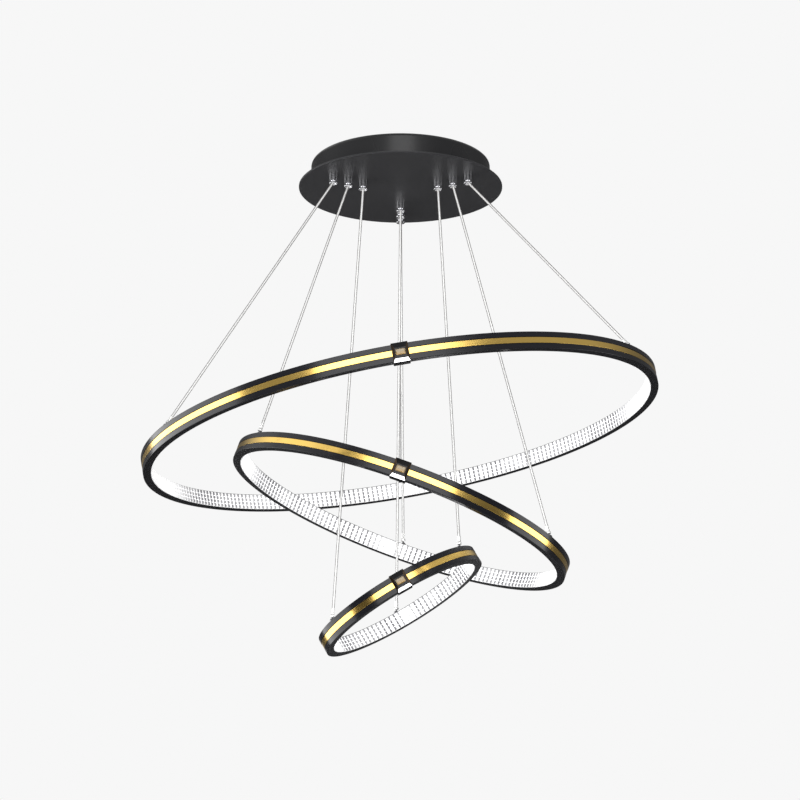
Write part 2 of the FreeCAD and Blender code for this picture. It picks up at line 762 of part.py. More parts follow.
os.makedirs("parts", exist_ok=True)
for label, item in nodes.items():
    item.Shape.exportStep(f"parts/{label}.step")
whole = Part.makeCompound([item.Shape for item in nodes.values()]).BoundBox
print(f"{len(nodes)} nodes, box {whole.XLength:.1f} x {whole.YLength:.1f} x {whole.ZLength:.1f},"
      f" z {whole.ZMin:.1f} to {whole.ZMax:.1f}")
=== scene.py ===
# %% [markdown]
# # A chandelier of three tilted LED rings
#
# A round black canopy is screwed to the ceiling. Nine thin cables come out of it and carry three rings, each hung on
# three of them and each tilted its own way. A ring is a black aluminium channel with a gold strip outside, a crystal
# lens inside, and a jewelled clasp at the front. Lengths are in metres, the ceiling is z = 0 and the viewer is at -Y.

# %% Load the imported model
import json
import math

import bmesh
import bpy
from mathutils import Matrix, Vector


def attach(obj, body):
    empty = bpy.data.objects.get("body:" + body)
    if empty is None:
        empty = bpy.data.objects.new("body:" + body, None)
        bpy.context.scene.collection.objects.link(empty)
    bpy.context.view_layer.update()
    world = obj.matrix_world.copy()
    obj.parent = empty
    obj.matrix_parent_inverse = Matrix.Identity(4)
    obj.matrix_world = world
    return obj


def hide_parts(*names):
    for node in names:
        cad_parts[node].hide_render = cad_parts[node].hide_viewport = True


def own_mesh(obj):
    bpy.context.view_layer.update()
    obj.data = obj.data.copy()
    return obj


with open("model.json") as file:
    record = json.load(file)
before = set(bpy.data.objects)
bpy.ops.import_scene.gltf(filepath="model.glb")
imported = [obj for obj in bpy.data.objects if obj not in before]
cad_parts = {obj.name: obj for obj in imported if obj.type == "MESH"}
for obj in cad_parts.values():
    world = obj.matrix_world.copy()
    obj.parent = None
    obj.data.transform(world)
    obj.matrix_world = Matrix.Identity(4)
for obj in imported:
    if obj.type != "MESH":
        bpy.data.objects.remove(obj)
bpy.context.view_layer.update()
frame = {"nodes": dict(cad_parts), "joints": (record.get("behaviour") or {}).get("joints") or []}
MM = 0.001

# %% [markdown]
# The rings share one section and differ in radius, in how far they hang, and in how they tilt. A matrix for each ring
# takes its own flat frame, where it lies round the Z axis, to its place under the canopy. Everything on a ring is made
# in that flat frame, where it is easy to think about, and the matrix is then applied to its mesh. The tilt lifts one
# side, the pitch drops the rear a little, and the turn says where round the ring the two front cables meet it.

# %% Where the rings and the cables are
RINGS = {
    "large": {"radius": 300 * MM, "drop": 323 * MM, "tilt": -10, "pitch": 0, "turn": 28},
    "middle": {"radius": 201 * MM, "drop": 424.2 * MM, "tilt": 20, "pitch": 0, "turn": 29},
    "small": {"radius": 101.5 * MM, "drop": 526.5 * MM, "tilt": -30.4, "pitch": -0.9, "turn": 32},
}
ROWS = {"left": math.radians(210), "right": math.radians(330), "rear": math.radians(90)}
GRIPPER_REACH = {"large": 90.5 * MM, "middle": 70.5 * MM, "small": 50.5 * MM}
for ring in RINGS.values():
    lean = Matrix.Rotation(math.radians(ring["pitch"]), 4, "X") @ Matrix.Rotation(math.radians(ring["tilt"]), 4, "Y")
    ring["place"] = Matrix.Translation((0, 0, -ring["drop"])) @ lean


def gripper_spot(ring_name, row, z=0.0):
    reach, turn = GRIPPER_REACH[ring_name], ROWS[row]
    return Vector((reach * math.cos(turn), reach * math.sin(turn), z))


print({name: tuple(round(value, 4) for value in ring["place"].translation) for name, ring in RINGS.items()})

# %% [markdown]
# The photograph looks up at the chandelier with a long lens. The ellipses of the three rings and the canopy's edge fix
# the camera: 3.1 metres away, 1.18 metres below the ceiling, pitched up by 16 degrees.

# %% The camera
def in_scene(name, data):
    """A new object in the scene, with this mesh, curve, lamp or camera."""
    item = bpy.data.objects.new(name, data)
    bpy.context.scene.collection.objects.link(item)
    return item


CAMERA_SPOT = Vector((0, -3.0996, -1.1764))
CAMERA_PITCH = math.radians(15.97)
camera_data = bpy.data.cameras.new("camera")
camera_data.sensor_width = 36
camera_data.lens = 125.64
camera_data.shift_x = -0.0007
camera_data.clip_end = 50
camera = in_scene("camera", camera_data)
camera.location = CAMERA_SPOT
camera.rotation_euler = (math.radians(90) + CAMERA_PITCH, 0, 0)
bpy.context.scene.camera = camera
print("camera", tuple(CAMERA_SPOT), "lens", camera_data.lens)

# %% [markdown]
# ## Writing node trees as sentences
#
# Shader and geometry trees are both built in code. `Signal` stands for one output of a node and overloads the usual
# operators, so that `1 - mask * 0.5` adds its Math nodes by itself. `Tree.add` makes any other node from its type, its
# settings and its sockets: each gets a plain value, a signal, or a list of signals where a socket takes several.

# %% Signal and Tree
class Signal:
    """One output of a node."""

    def __init__(self, tree, socket):
        self.tree, self.socket = tree, socket

    def output(self, name):
        return Signal(self.tree, self.socket.node.outputs[name])

    def __add__(self, other):
        return self.tree.math("ADD", self, other)

    def __radd__(self, other):
        return self.tree.math("ADD", other, self)

    def __sub__(self, other):
        return self.tree.math("SUBTRACT", self, other)

    def __rsub__(self, other):
        return self.tree.math("SUBTRACT", other, self)

    def __mul__(self, other):
        return self.tree.math("MULTIPLY", self, other)

    def __rmul__(self, other):
        return self.tree.math("MULTIPLY", other, self)

    def __truediv__(self, other):
        return self.tree.math("DIVIDE", self, other)

    def __rtruediv__(self, other):
        return self.tree.math("DIVIDE", other, self)


class Tree:
    """A node tree of a material, of the world or of Geometry Nodes."""

    def __init__(self, tree):
        self.tree = tree

    def add(self, kind, settings=None, sockets=None, output=0):
        node = self.tree.nodes.new(kind)
        for name, value in (settings or {}).items():
            if name == "stops":
                while len(node.color_ramp.elements) < len(value):
                    node.color_ramp.elements.new(0.5)
                for stop, (place, colour) in zip(node.color_ramp.elements, value):
                    stop.position, stop.color = place, colour
            else:
                setattr(node, name, value)
        for name, value in (sockets or {}).items():
            for one in value if isinstance(value, list) else [value]:
                if isinstance(one, Signal):
                    self.tree.links.new(one.socket, node.inputs[name])
                else:
                    node.inputs[name].default_value = one
        return Signal(self, node.outputs[output]) if node.outputs else node

    def math(self, operation, first, second=0.0):
        return self.add("ShaderNodeMath", {"operation": operation}, {0: first, 1: second})

    def mix(self, factor, first, second):
        """Mix two colours."""
        return self.add("ShaderNodeMix", {"data_type": "RGBA"}, {0: factor, 6: first, 7: second}, output=2)

    def ramp(self, value, start, stop):
        """0 where the value is start, 1 where it is stop, and even between the two."""
        return self.add("ShaderNodeMapRange", None, {"Value": value, "From Min": start, "From Max": stop})


print("helpers ready")

# %% [markdown]
# A finish is a Principled shader whose sockets are values or signals. Patterns are laid out in Object coordinates. For
# a piece on a ring, a Mapping node of the Texture kind undoes the ring's drop and tilt first, so that z in the pattern
# is the height on the band.

# %% Helpers for finishes
def finish(name, build):
    """A material whose Principled sockets are what build(tree) returns."""
    material = bpy.data.materials.new(name)
    material.use_nodes = True
    material.node_tree.nodes.clear()
    tree = Tree(material.node_tree)
    surface = tree.add("ShaderNodeBsdfPrincipled", None, build(tree))
    tree.add("ShaderNodeOutputMaterial", None, {"Surface": surface})
    return material


def place_in(tree, ring_name=None, scale=(1, 1, 1)):
    """Object coordinates, in a ring's own frame if one is named, times a scale."""
    spot = tree.add("ShaderNodeTexCoord", output="Object")
    if ring_name:
        ring = RINGS[ring_name]
        spot = tree.add("ShaderNodeMapping", {"vector_type": "TEXTURE"},
                        {"Vector": spot, "Location": ring["place"].translation,
                         "Rotation": ring["place"].to_euler()})
    return tree.add("ShaderNodeVectorMath", {"operation": "MULTIPLY"}, {0: spot, 1: scale})


def grain(tree, spot, scale, detail):
    """Noise from 0 to 1."""
    return tree.add("ShaderNodeTexNoise", None, {"Vector": spot, "Scale": scale, "Detail": detail})


def bump(tree, height, distance, strength):
    return tree.add("ShaderNodeBump", None, {"Height": height, "Distance": distance, "Strength": strength})


def turned_away(tree):
    """0 where the surface faces the eye, 1 where it is seen edge on."""
    return tree.add("ShaderNodeLayerWeight", None, {"Blend": 0.5}, output="Facing")


def grey(level):
    return (level, level, level, 1)


print("finish helpers ready")

# %% [markdown]
# ## Cables
#
# Each cable is a thin steel wire rope in a clear jacket. It hangs straight down inside its gripper, leans on the rim of
# the release collar, and runs taut to a ferrule on its ring. The route is a NURBS curve with a few control points, as a
# designer would draw it, and the tube follows points read from that curve. The curve's own bevel would make a tube too,
# but without the UV map in metres that the strands need. The clear jacket is the shader's coat, over bright strands
# that come from a helical bump along that UV map, with painted shade in the grooves between them. Layer Weight paints
# the edges grey, a painted shade for what the thick of a clear jacket does.

# %% The cables' finish
STRANDS = {"around": 6, "per_metre": 160}


def clear_cable(tree):
    uv = tree.add("ShaderNodeUVMap", {"uv_map": "tube"})
    parts = tree.add("ShaderNodeSeparateXYZ", None, {0: uv})
    winding = parts.output("X") * STRANDS["around"] + parts.output("Y") * STRANDS["per_metre"]
    ridge = tree.math("SINE", winding * (2 * math.pi)) * 0.5 + 0.5
    # Painted shade: the strands' colour is darker where the bump is low, in the grooves between them.
    strands = tree.mix(ridge, (0.84, 0.84, 0.83, 1), (0.96, 0.96, 0.95, 1))
    # Painted shade: Layer Weight darkens the edges, standing in for the thick of the clear jacket seen edge on.
    edge = tree.ramp(turned_away(tree), 0.09, 0.40)
    return {
        "Base Color": tree.mix(edge, strands, (0.12, 0.11, 0.11, 1)),
        "Roughness": 0.42 - ridge * 0.1,
        "Coat Weight": 0.15,
        "Coat Roughness": 0.05,
        "Normal": bump(tree, ridge, 0.00004, 0.4),
    }


cable_finish = finish("clear_jacketed_cable", clear_cable)
print(cable_finish.name, "with", STRANDS["around"], "strands")

# %% Ends and corners of the nine routes
BAND = {"height": 19.2 * MM, "depth": 9.2 * MM, "back": 2.4 * MM, "wall": 1.3 * MM, "edge": 0.5 * MM,
        "lip_edge": 0.3 * MM}
TAIL_Z = -15 * MM  # the cable's upper end, in the canopy
CORNER_Z = -38.8 * MM  # the collar's rim, where the cable bends
NEAR_CORNER = 4 * MM  # from the bend to the control points on both sides of it
SIX_DIAMETERS = 18 * MM  # and to one more, which keeps the bend short
NECK = 5.2 * MM  # from the foot on the ring's upper face to the middle of the ball
CABLE_END = 8.3 * MM  # from the ball to the cable's lower end, in the ferrule's mouth


def foot_spot(ring_name, row):
    """Where a cable's ball stud stands, on the middle of the ring's upper face."""
    ring = RINGS[ring_name]
    turn = math.radians({"left": 180 + ring["turn"], "right": 360 - ring["turn"], "rear": 90}[row])
    reach = ring["radius"] - BAND["depth"] / 2
    return ring["place"] @ Vector((reach * math.cos(turn), reach * math.sin(turn), BAND["height"] / 2))


BALLS = {}
for ring_name in RINGS:
    for row in ROWS:
        foot = foot_spot(ring_name, row)
        BALLS[ring_name, row] = foot + NECK * (gripper_spot(ring_name, row, CORNER_Z) - foot).normalized()


def route_points(ring_name, row):
    """Tail, corner at the collar's rim and cable end, with a point near each side of the corner."""
    corner = gripper_spot(ring_name, row, CORNER_Z)
    down = (BALLS[ring_name, row] - corner).normalized()
    return [
        gripper_spot(ring_name, row, TAIL_Z),
        corner + Vector((0, 0, NEAR_CORNER)),
        corner,
        corner + down * NEAR_CORNER,
        corner + down * SIX_DIAMETERS,
        BALLS[ring_name, row] - down * CABLE_END,
    ]


for (ring_name, row), ball in BALLS.items():
    print(ring_name, row, "ball at", tuple(round(value / MM, 1) for value in ball), "mm")

# %% Read a smooth line from a route, and lay a tube along it
def plain_mesh(item):
    """The mesh that an object's curve or modifiers make. The object itself is then removed."""
    depsgraph = bpy.context.evaluated_depsgraph_get()
    mesh = bpy.data.meshes.new_from_object(item.evaluated_get(depsgraph), depsgraph=depsgraph)
    bpy.data.objects.remove(item)
    return mesh


def mesh_from(name, shape):
    """A new mesh with the faces of a bmesh, which is then freed."""
    mesh = bpy.data.meshes.new(name)
    shape.to_mesh(mesh)
    shape.free()
    return mesh


def smooth_line(name, points):
    """Points of the NURBS curve that has these control points."""
    data = bpy.data.curves.new(name, "CURVE")
    data.dimensions = "3D"
    data.resolution_u = 12
    spline = data.splines.new("NURBS")
    spline.points.add(len(points) - 1)
    for point, spot in zip(spline.points, points):
        point.co = (*spot, 1)
    spline.order_u = 3
    spline.use_endpoint_u = True
    guide = in_scene(name, data)
    bpy.context.view_layer.update()
    mesh = plain_mesh(guide)
    line = [vertex.co.copy() for vertex in mesh.vertices]
    bpy.data.meshes.remove(mesh)
    return line


def tube_mesh(name, line, radius, sides=16):
    """A closed tube along a line, with a UV map called tube: round it in U, metres along it in V."""
    shape = bmesh.new()
    uv_layer = shape.loops.layers.uv.new("tube")
    side = Vector((1, 0, 0))
    loops, reach, travelled = [], [], 0.0
    for number, spot in enumerate(line):
        before, after = line[max(number - 1, 0)], line[min(number + 1, len(line) - 1)]
        ahead = (after - before).normalized()
        side = (side - ahead * side.dot(ahead)).normalized()
        up = ahead.cross(side)
        travelled += (spot - before).length if number else 0.0
        reach.append(travelled)
        loops.append([shape.verts.new(spot + radius * (side * math.cos(turn) + up * math.sin(turn)))
                      for turn in (2 * math.pi * step / sides for step in range(sides))])
    for row in range(len(line) - 1):
        for step in range(sides):
            following = (step + 1) % sides
            face = shape.faces.new((loops[row][step], loops[row][following],
                                    loops[row + 1][following], loops[row + 1][step]))
            corners = ((step, row), (step + 1, row), (step + 1, row + 1), (step, row + 1))
            for loop, (across, length) in zip(face.loops, corners):
                loop[uv_layer].uv = (across / sides, reach[length])
    shape.faces.new(list(reversed(loops[0])))
    shape.faces.new(loops[-1])
    mesh = mesh_from(name, shape)
    mesh.shade_smooth()
    mesh.set_sharp_from_angle(angle=math.radians(50))
    return mesh


def new_piece(mesh, material, body, slot_name, *nodes):
    """Put a mesh in the scene, with its finish, its body and the CAD nodes that it stands for; slot_name is not used.
    """
    piece = in_scene(mesh.name, mesh)
    if material and not mesh.materials:
        mesh.materials.append(material)
    if nodes:
        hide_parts(*nodes)
    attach(piece, body)
    return piece


print("tube helpers ready")

# %% [markdown]
# Each cable is taken up through its gripper by a joint. The cable can't follow that joint as a rigid piece. For each
# one the script works out the line that its lower end travels, how far, and what share of the cable below the
# gripper's mouth that leaves, and prints them; the cable itself keeps its shape.

# %% The nine cables
CABLE_RADIUS = 1.5 * MM
joints = {joint["name"]: joint for joint in frame["joints"]}


def turned_by(joint_name, spot):
    """Where a joint at its limit takes a point."""
    joint = joints[joint_name]
    pivot = Vector(joint["pos_m"])
    turn = Matrix.Rotation(math.radians(max(joint["range_deg"])), 3, Vector(joint["axis"]))
    return pivot + turn @ (spot - pivot)


def cable_travel(ring_name, row, end):
    """Mean path of a cable's end, between its own joint alone and all of the ring's joints at their limits."""
    order = list(ROWS)  # a ring's three joints are chained in this order
    alone = turned_by(f"{ring_name}_{row}_cable_take_up", end)
    together = alone
    for earlier in reversed(order[:order.index(row)]):
        together = turned_by(f"{ring_name}_{earlier}_cable_take_up", together)
    return (alone + together) / 2 - end


for ring_name, row in BALLS:
    points = route_points(ring_name, row)
    line = smooth_line(f"route_{ring_name}_{row}", points)
    mesh = tube_mesh(f"cable_{ring_name}_{row}", line, CABLE_RADIUS)
    cable = new_piece(mesh, cable_finish, "canopy", "clear_cable", f"{ring_name}_{row}_cable")
    travel = cable_travel(ring_name, row, points[-1])
    mouth = points[2]
    kept = 1 - travel.length / abs((points[-1] - mouth).dot(travel.normalized()))
    tuple(mouth)
    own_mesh(cable)
    length = sum((after - before).length for before, after in zip(line, line[1:]))
    tuple(points[0])
    [tuple(spot) for spot in line]
    print(f"{mesh.name}: {length:.4f} m, travel {travel.length / MM:.1f} mm, keep {kept:.3f}")

# %% [markdown]
# ## Turned pieces
#
# Most of the chandelier is turned: the ring channels, the grippers, the collars, the ferrules. Each is one closed
# section spun round Z. The loops of the spin are written out, so that the last one joins the first and no seam has to
# be merged. Real edges are never sharp, and a highlight only shows on an edge that has a radius, so every corner of a
# section is eased by a small arc before it is spun. A point is kept close beside each end of the arc: the smooth
# shading of the arc then stops there and leaves the flat faces flat.

# %% Ease a section's corners, and spin it
def in_metres(*rows):
    """Rows of sizes in millimetres, turned into metres."""
    return [tuple(size * MM for size in row) for row in rows]


def eased(section, radius, steps=3):
    """Round the corners of a closed section. A corner may give its own radius as a third number."""
    result = []
    count = len(section)
    for number, corner in enumerate(section):
        here = Vector(corner[:2])
        before = Vector(section[number - 1][:2]) - here
        after = Vector(section[(number + 1) % count][:2]) - here
        wanted = corner[2] if len(corner) > 2 else radius
        half = before.angle(after) / 2
        if wanted <= 0 or half > math.radians(85):
            result.append(here)
            continue
        cut = min(wanted / math.tan(half), 0.45 * before.length, 0.45 * after.length)
        arc_radius = cut * math.tan(half)
        middle = here + (before.normalized() + after.normalized()).normalized() * arc_radius / math.sin(half)
        start = here + before.normalized() * cut - middle
        finish_at = here + after.normalized() * cut - middle
        sweep = start.angle_signed(finish_at)
        result.append(here + before.normalized() * cut * 1.1)
        for step in range(steps + 1):
            turn = -sweep * step / steps
            result.append(middle + Vector((start.x * math.cos(turn) - start.y * math.sin(turn),
                                           start.x * math.sin(turn) + start.y * math.cos(turn))))
        result.append(here + after.normalized() * cut * 1.1)
    return result


def spun(name, section, steps, place=None, sharp=40):
    """A closed (radius, height) section spun round Z, then put in place."""
    shape = bmesh.new()
    loops = [[shape.verts.new((r * math.cos(turn), r * math.sin(turn), z)) for r, z in section]
             for turn in (2 * math.pi * step / steps for step in range(steps))]
    count = len(section)
    for step in range(steps):
        here, ahead = loops[step], loops[(step + 1) % steps]
        for number in range(count):
            following = (number + 1) % count
            shape.faces.new((here[number], ahead[number], ahead[following], here[following]))
    bmesh.ops.recalc_face_normals(shape, faces=shape.faces)
    mesh = mesh_from(name, shape)
    if place:
        mesh.transform(place)
    mesh.shade_smooth()
    mesh.set_sharp_from_angle(angle=math.radians(sharp))
    return mesh


print("a square of side 10 eased by 1 has", len(eased([(0, 0), (10, 0), (10, 10), (0, 10)], 1)), "points")

# %% [markdown]
# ## Canopy
#
# The drum against the ceiling and the wider plate under it are pressed steel with a satin black powder coat: a very
# dark grey, fairly smooth, with the fine orange-peel of baked powder. The plate's coat is a shade greyer and duller
# than the drum's, and the two side screws have the drum's. The CAD shapes are right, so they stay and only get the
# finish.

# %% Powder coat, and the canopy's own pieces
def powder_coat(level, rough, shine):
    def build(tree):
        spot = place_in(tree)
        peel = grain(tree, spot, 900, 3)
        cloud = grain(tree, spot, 12, 2)
        darker, paler = level * 0.86, level * 1.14
        return {
            "Base Color": tree.mix(cloud, (darker, darker, darker * 1.08, 1), (paler, paler, paler * 1.08, 1)),
            "Roughness": rough + cloud * 0.08,
            "Specular IOR Level": shine,
            "Normal": bump(tree, peel, 0.00004, 0.25),
        }
    return build


def dress(material, *nodes):
    """Give CAD nodes a finish through their material slots."""
    for node in nodes:
        target = frame["nodes"][node]
        if not target.material_slots:
            target.data.materials.append(material)
        for place in target.material_slots:
            place.material = material


canopy_black = finish("satin_black_powder_coat", powder_coat(0.013, 0.24, 0.35))
plate_black = finish("dull_black_powder_coat", powder_coat(0.030, 0.44, 0.22))
dress(canopy_black, "canopy_drum", "side_screws")
dress(plate_black, "canopy_plate")
print(canopy_black.name, plate_black.name)

# %% [markdown]
# Inside the canopy, where only a view into the mains opening reaches: the welded hoop, the grippers' lock nuts, the
# driver with its board, the terminal block and the rubber grommet. Flat colours would look like plastic toys, so each
# finish gets a faint pattern of its own: spangle on zinc, pits on mouldings, copper tracks on the board.

# %% Finishes of the parts inside
def zinc(tree):
    spangle = grain(tree, place_in(tree), 260, 4)
    return {
        "Base Color": tree.mix(spangle, grey(0.50), (0.68, 0.68, 0.67, 1)),
        "Metallic": 1.0,
        "Roughness": 0.30 + spangle * 0.2,
    }


def moulded_white(tree):
    pits = grain(tree, place_in(tree), 1500, 2)
    return {"Base Color": (0.80, 0.80, 0.78, 1), "Roughness": 0.42 + pits * 0.1,
            "Normal": bump(tree, pits, 0.00003, 0.3)}


def solder_mask(tree):
    tracks = tree.add("ShaderNodeTexVoronoi", {"feature": "DISTANCE_TO_EDGE"},
                      {"Vector": place_in(tree), "Scale": 220})
    line = tree.math("LESS_THAN", tracks, 0.06)
    return {"Base Color": tree.mix(line, (0.02, 0.16, 0.06, 1), (0.08, 0.34, 0.16, 1)),
            "Roughness": 0.35, "Coat Weight": 0.5}


def soft_rubber(tree):
    pits = grain(tree, place_in(tree), 1200, 3)
    return {"Base Color": grey(0.02), "Roughness": 0.62 + pits * 0.2,
            "Normal": bump(tree, pits, 0.00005, 0.4)}


zinc_plate = finish("zinc_plated_steel", zinc)
white_plastic = finish("moulded_white_plastic", moulded_white)
circuit_board = finish("green_solder_mask", solder_mask)
rubber = finish("black_rubber", soft_rubber)
dress(zinc_plate, "canopy_hoop", "gripper_nuts")
dress(white_plastic, "driver_case", "driver_lid", "terminal_block")
dress(circuit_board, "driver_board")
dress(rubber, "cable_grommet")
print("inside parts dressed")

# %% [markdown]
# ## Metals
#
# The grippers' barrels are satin chrome, their release collars polished chrome, the ball studs on the rings black
# nickel and the ferrules on the cables satin white nickel. All are fully metallic. Faint polishing haze in the
# roughness keeps the reflections from looking like computer mirrors.

# %% Chrome and nickel
def polished(level, tint, rough):
    def build(tree):
        haze = grain(tree, place_in(tree), 140, 3)
        return {
            "Base Color": tree.mix(haze, (level * 0.94, level * 0.94, level * 0.96 * tint, 1),
                                   (level, level, level * tint, 1)),
            "Metallic": 1.0,
            "Roughness": rough + haze * 0.06,
        }
    return build


chrome = finish("polished_chrome", polished(0.80, 1.02, 0.07))
satin_chrome = finish("satin_chrome", polished(0.88, 1.02, 0.11))
white_nickel = finish("satin_white_nickel", polished(0.92, 0.98, 0.34))
black_nickel = finish("black_nickel", polished(0.22, 1.04, 0.16))
dress(satin_chrome, "gripper_barrels")
dress(black_nickel, *(f"{name}_ball_studs" for name in RINGS))
print(*(metal.name for metal in (chrome, satin_chrome, white_nickel, black_nickel)))

# %% Release collars, one on each gripper, each riding on its own body
PLATE_UNDER = -30 * MM
BARREL_END = PLATE_UNDER - 7.4 * MM
STEM_TOP = BARREL_END + 4 * MM
COLLAR_SEAT = BARREL_END - 1.6 * MM
COLLAR_END = COLLAR_SEAT - 1.8 * MM
collar_section = eased([
    (1.75 * MM, STEM_TOP), (2.7 * MM, STEM_TOP), (2.7 * MM, COLLAR_SEAT), (5.15 * MM, COLLAR_SEAT),
    (5.15 * MM, COLLAR_END, 0.5 * MM), (4.2 * MM, COLLAR_END), (2.2 * MM, COLLAR_SEAT),
    (1.75 * MM, COLLAR_SEAT + 2 * MM),
], 0.15 * MM)
for ring_name, row in BALLS:
    node = f"{ring_name}_{row}_release"
    mesh = spun(f"collar_{ring_name}_{row}", collar_section, 64, Matrix.Translation(gripper_spot(ring_name, row)))
    new_piece(mesh, chrome, node + "_collar", "chrome", node)
print("nine collars of", len(mesh.polygons), "faces")

# %% [markdown]
# Inside each barrel a release spring presses the collar's stem down: a round wire on a helix, made as a tube along its
# line. When the collar is pushed up, the real spring gets shorter; this one keeps its length.

# %% The release springs
PUSH = 1.4 * MM
CHAMBER_ROOF = BARREL_END + 10 * MM
SPRING = {"coil": 2.3 * MM, "wire": 0.22 * MM, "pitch": 1.15 * MM, "seat": 0.45 * MM, "per_turn": 18}
spring_height = CHAMBER_ROOF - STEM_TOP - 2 * SPRING["seat"]
spring_steps = round(spring_height / SPRING["pitch"] * SPRING["per_turn"])
for ring_name, row in BALLS:
    middle = gripper_spot(ring_name, row)
    line = []
    for step in range(spring_steps + 1):
        rise = spring_height * step / spring_steps
        turn = 2 * math.pi * rise / SPRING["pitch"]
        line.append(middle + Vector((SPRING["coil"] * math.cos(turn), SPRING["coil"] * math.sin(turn),
                                     STEM_TOP + SPRING["seat"] + rise)))
    mesh = tube_mesh(f"release_spring_{ring_name}_{row}", line, SPRING["wire"], sides=8)
    spring = new_piece(mesh, zinc_plate, "canopy", "zinc_steel", "gripper_springs")
    1 - PUSH / (CHAMBER_ROOF - STEM_TOP)
    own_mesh(spring)
print("nine springs of", len(mesh.polygons), "faces")

# %% [markdown]
# A ferrule is crimped on the end of each cable. Its cup snaps over the ball on the ring. The crimps are two waisted
# grooves, and a thin lip at the top closes round the cable.

# %% Ferrules
ferrule_section = eased(in_metres(
    (2.02, -1.1), (2.46, -1.1), (2.6, 0.2, 1), (2.3, 1.1, 0.5), (1.9, 1.9), (1.9, 3.2), (1.78, 3.4), (1.78, 4.0),
    (1.9, 4.2), (1.9, 5.6), (1.78, 5.8), (1.78, 6.4), (1.9, 6.6), (1.9, 7.9), (1.7, 8.8), (1.58, 8.8), (1.58, 8.1),
    (1.2, 7.9), (1.2, 2), (2.02, 0.4, 1),
), 0.08 * MM)
FERRULE_BODIES = {"left": "{}_left_end", "right": "{}_right_end", "rear": "{}_ring"}
for (ring_name, row), ball in BALLS.items():
    up = (gripper_spot(ring_name, row, CORNER_Z) - ball).normalized()
    place = Matrix.Translation(ball) @ up.to_track_quat("Z", "Y").to_matrix().to_4x4()
    mesh = spun(f"ferrule_{ring_name}_{row}", ferrule_section, 40, place)
    new_piece(mesh, white_nickel, FERRULE_BODIES[row].format(ring_name), "chrome", f"{ring_name}_{row}_ferrule")
print("nine ferrules of", len(mesh.polygons), "faces")

# %% [markdown]
# ## The rings' channel and gold strip
#
# The channel is extruded aluminium, rolled to a ring and anodised black, with fine brushing that runs round it. Noise
# that is stretched very far along the band and squeezed across it gives that brushing. The gold strip lies in a shallow
# groove round the outside. Its metal is polished, so it mirrors the studio: pale where a lamp shows in it, brown-gold
# where the dim room does.

# %% Finishes of the channel and the gold strip
def anodised(ring_name):
    def build(tree):
        brushing = grain(tree, place_in(tree, ring_name, (3, 3, 900)), 1.5, 4)
        return {
            "Base Color": tree.mix(brushing, (0.006, 0.006, 0.008, 1), (0.012, 0.012, 0.015, 1)),
            "Roughness": 0.14 + brushing * 0.08,
            "Specular IOR Level": 0.28,
            "Normal": bump(tree, brushing, 0.00002, 0.25),
        }
    return build


def gilt(ring_name):
    def build(tree):
        brushing = grain(tree, place_in(tree, ring_name, (4, 4, 300)), 1.3, 3)
        patch = grain(tree, place_in(tree, ring_name, (1, 1, 0.2)), 45, 2)
        return {
            "Base Color": tree.mix(patch, (0.87, 0.575, 0.14, 1), (0.92, 0.63, 0.18, 1)),
            "Metallic": 1.0,
            "Roughness": 0.15 + brushing * 0.06,
        }
    return build


print("channel and gold finishes ready")

# %% The channels and the gold strips
GROOVE = {"height": 7.6 * MM, "depth": 1 * MM}
GOLD = {"height": 6.4 * MM, "thick": 0.8 * MM}
STEPS = {"large": 360, "middle": 288, "small": 192}  # faces round each ring


def channel_section(outer):
    top, inner, back = BAND["height"] / 2, outer - BAND["depth"], outer - BAND["back"]
    half_groove, floor = GROOVE["height"] / 2, outer - GROOVE["depth"]
    shelf, edge, lip_edge = top - BAND["wall"], BAND["edge"], BAND["lip_edge"]
    return eased([
        (outer, -half_groove), (outer, -top, edge), (inner, -top, lip_edge), (inner, -shelf, lip_edge),
        (back, -shelf), (back, shelf), (inner, shelf, lip_edge), (inner, top, lip_edge), (outer, top, edge),
        (outer, half_groove), (floor, half_groove), (floor, -half_groove),
    ], 0.12 * MM)


def strip_section(inner, outer, height, edge):
    return eased([(outer, -height / 2), (outer, height / 2), (inner, height / 2), (inner, -height / 2)], edge)


for name, ring in RINGS.items():
    outer, body = ring["radius"], f"{name}_ring"
    channel = spun(f"{name}_channel", channel_section(outer), STEPS[name], ring["place"])
    new_piece(channel, finish(f"black_anodised_{name}", anodised(name)), body, "band_black", f"{name}_profile")
    floor = outer - GROOVE["depth"]
    gold = spun(f"{name}_gold_inlay", strip_section(floor, floor + GOLD["thick"], GOLD["height"], 0.15 * MM),
                STEPS[name], ring["place"])
    new_piece(gold, finish(f"polished_gold_{name}", gilt(name)), body, "gold", f"{name}_gold_strip")
    print(f"{name}: channel {len(channel.polygons)} faces, gold {len(gold.polygons)} faces")

# %% [markdown]
# ## Geometry Nodes: growing what repeats
#
# The LED chips and the cut facets of the crystal repeat hundreds of times round a ring. A Geometry Nodes tree makes
# them from a few named sizes. `grow` puts such a tree on a mesh, reads the result back as a plain mesh, and clears up.

# %% Make a tree with named inputs, and use it
def growing_tree(name, inputs, build):
    """A Geometry Nodes group: inputs are {name: default}, and build(tree, sockets) returns the geometry."""
    group = bpy.data.node_groups.new(name, "GeometryNodeTree")
    group.interface.new_socket("Geometry", in_out="INPUT", socket_type="NodeSocketGeometry")
    group.interface.new_socket("Geometry", in_out="OUTPUT", socket_type="NodeSocketGeometry")
    for label, default in inputs.items():
        kind = {int: "NodeSocketInt", float: "NodeSocketFloat"}.get(type(default), "NodeSocketMaterial")
        socket = group.interface.new_socket(label, in_out="INPUT", socket_type=kind)
        if kind != "NodeSocketMaterial":
            socket.default_value = default
    tree = Tree(group)
    entry = tree.add("NodeGroupInput")
    sockets = {label: entry.output(label) for label in ("Geometry", *inputs)}
    grown = tree.add("GeometryNodeRealizeInstances", None, {"Geometry": build(tree, sockets)})
    tree.add("NodeGroupOutput", None, {"Geometry": grown})
    return group


